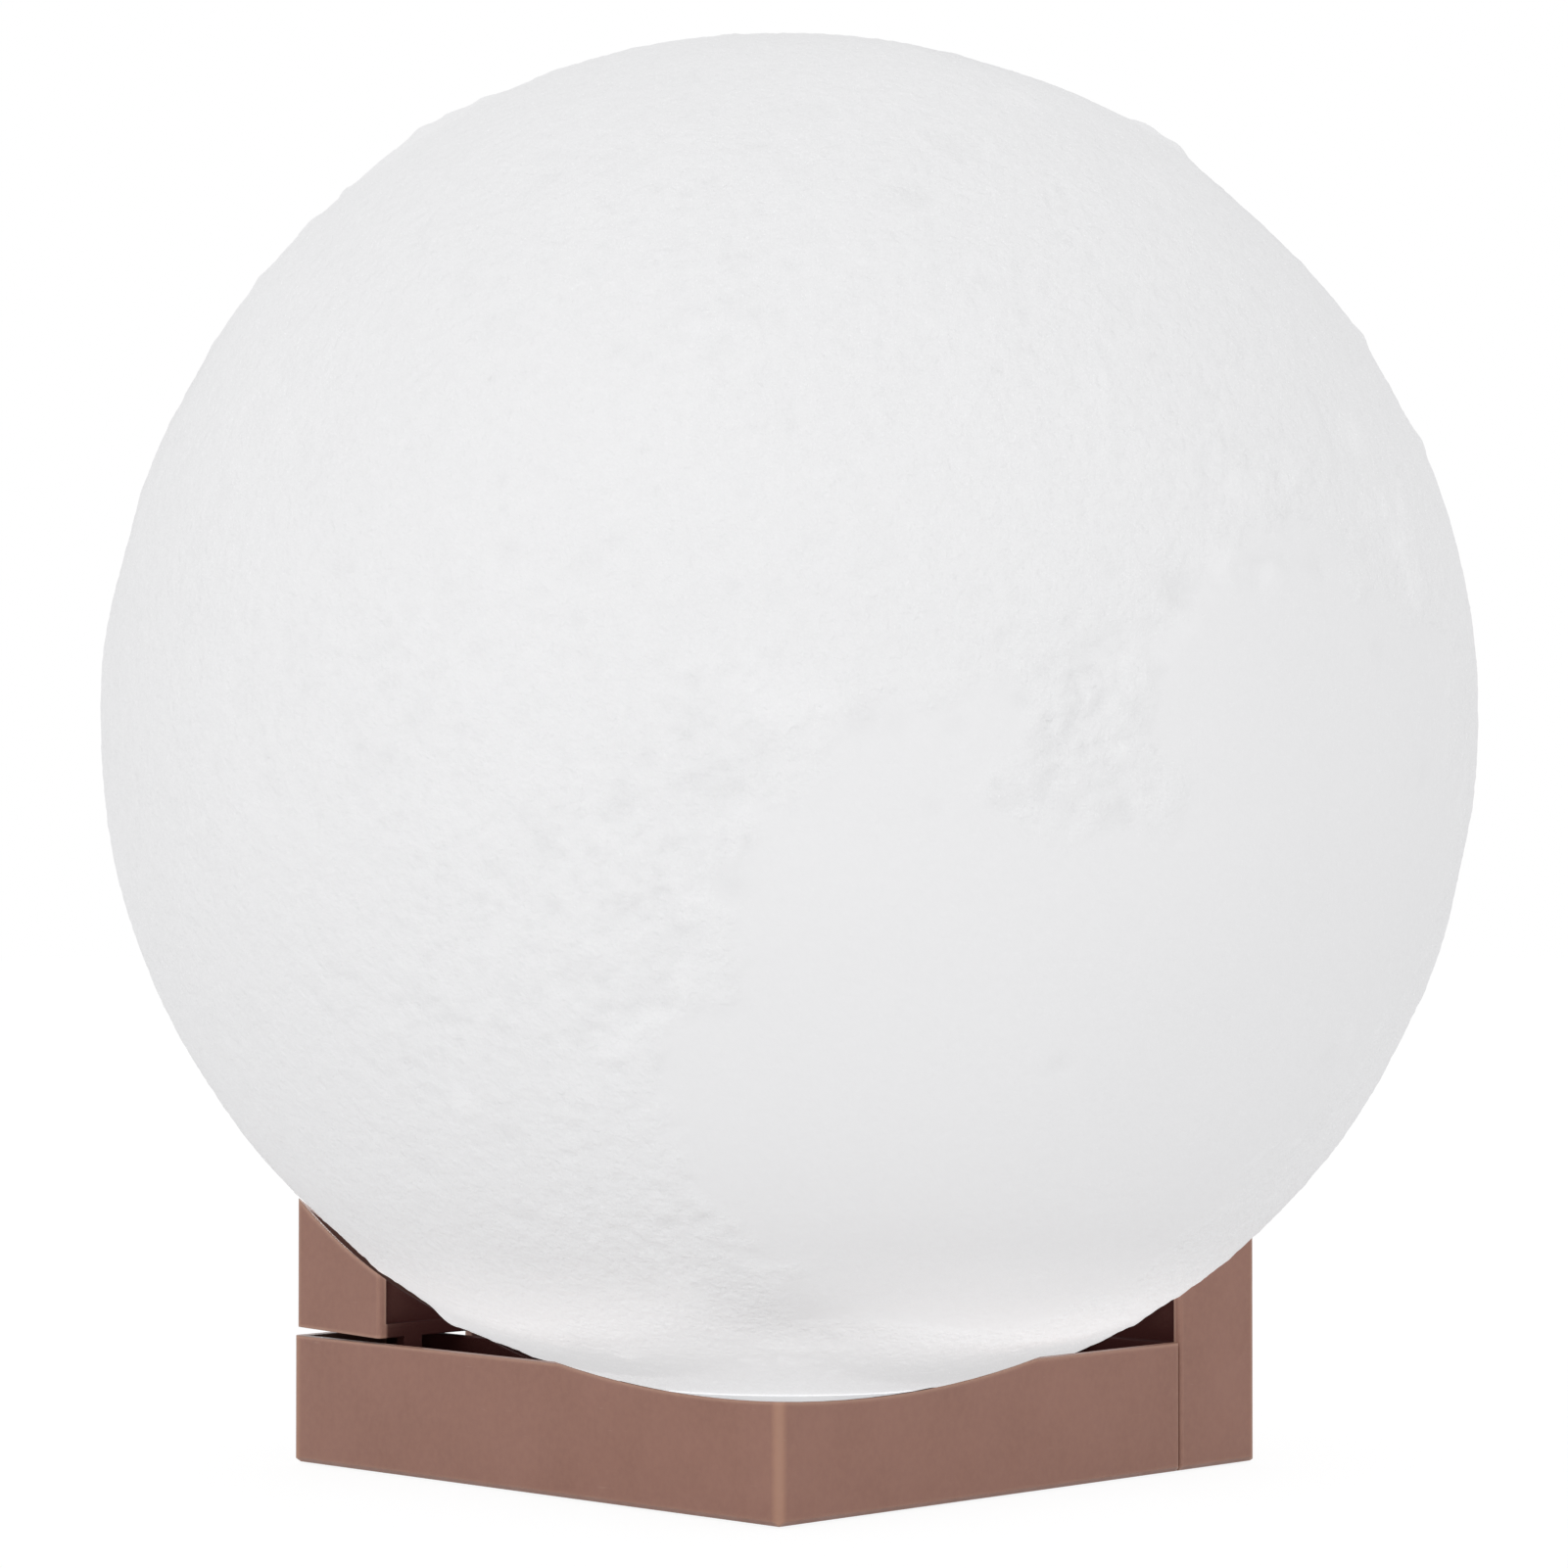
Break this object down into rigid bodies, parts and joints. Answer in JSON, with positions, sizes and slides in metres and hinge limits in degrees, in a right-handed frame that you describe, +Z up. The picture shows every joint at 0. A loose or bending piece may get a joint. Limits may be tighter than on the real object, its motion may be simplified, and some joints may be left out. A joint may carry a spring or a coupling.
{
  "type": "moon lamp",
  "caption": "Rechargeable moon lamp: a white printed moon with lunar relief resting in a square brown stand of interlocking rails with raised corners.",
  "frame": {"origin": "on the moon's vertical axis, at the height of the table the stand rests on", "axes": "+Z up; -Y towards the viewer of the picture, where the square stand's front corner points; +X to the viewer's right"},
  "size_m": [0.15, 0.15, 0.1564],
  "materials": {
    "stand_plastic": "satin moulded",
    "moon_plastic": "matte, cratered relief",
    "housing_plastic": "satin",
    "seal_silicone": "translucent silicone",
    "pad_foam": "matte foam",
    "bright_metal": "brushed",
    "board": "lacquered",
    "led_board_white": "white lacquered",
    "black_plastic": "matte",
    "ferrite": "matte",
    "plunger_red": "matte",
    "clear_plastic": "frosted",
    "led_yellow": "gloss",
    "cell_wrap": "gloss shrink wrap",
    "lead_jacket": "satin"
  },
  "bodies": {
    "stand": {"front_rail": "stand_plastic", "back_rail": "stand_plastic"},
    "moon": {"moon_shade": "moon_plastic", "seal_ring": "seal_silicone", "base_housing": "housing_plastic", "touch_ring": "bright_metal", "touch_contact": "bright_metal", "driver_board": "board", "board_chips": "black_plastic", "inductor": "ferrite", "usb_shell": "bright_metal", "usb_tongue": "black_plastic", "switch_body": "black_plastic", "indicator_lens": "clear_plastic", "indicator_led": "led_yellow", "board_screws": "bright_metal", "inner_cover": "housing_plastic", "cover_screws": "bright_metal", "battery_cell": "cell_wrap", "battery_pads": "pad_foam", "battery_leads": "lead_jacket", "led_board": "led_board_white", "led_chips": "led_yellow", "led_screws": "bright_metal", "led_leads": "lead_jacket", "led_dome": "clear_plastic"},
    "power_button": {"power_button": "housing_plastic", "switch_plunger": "plunger_red"}
  },
  "joints": [
    {"name": "moon_lift", "type": "slide", "parent": "stand", "child": "moon", "axis": [0, 0, 1], "range_m": [0, 0.08]},
    {"name": "power_button_press", "type": "slide", "parent": "moon", "child": "power_button", "axis": [0, 0, 1], "range_m": [0, 0.0005], "stiffness_N_per_m": 400, "springref_m": -0.001}
  ]
}
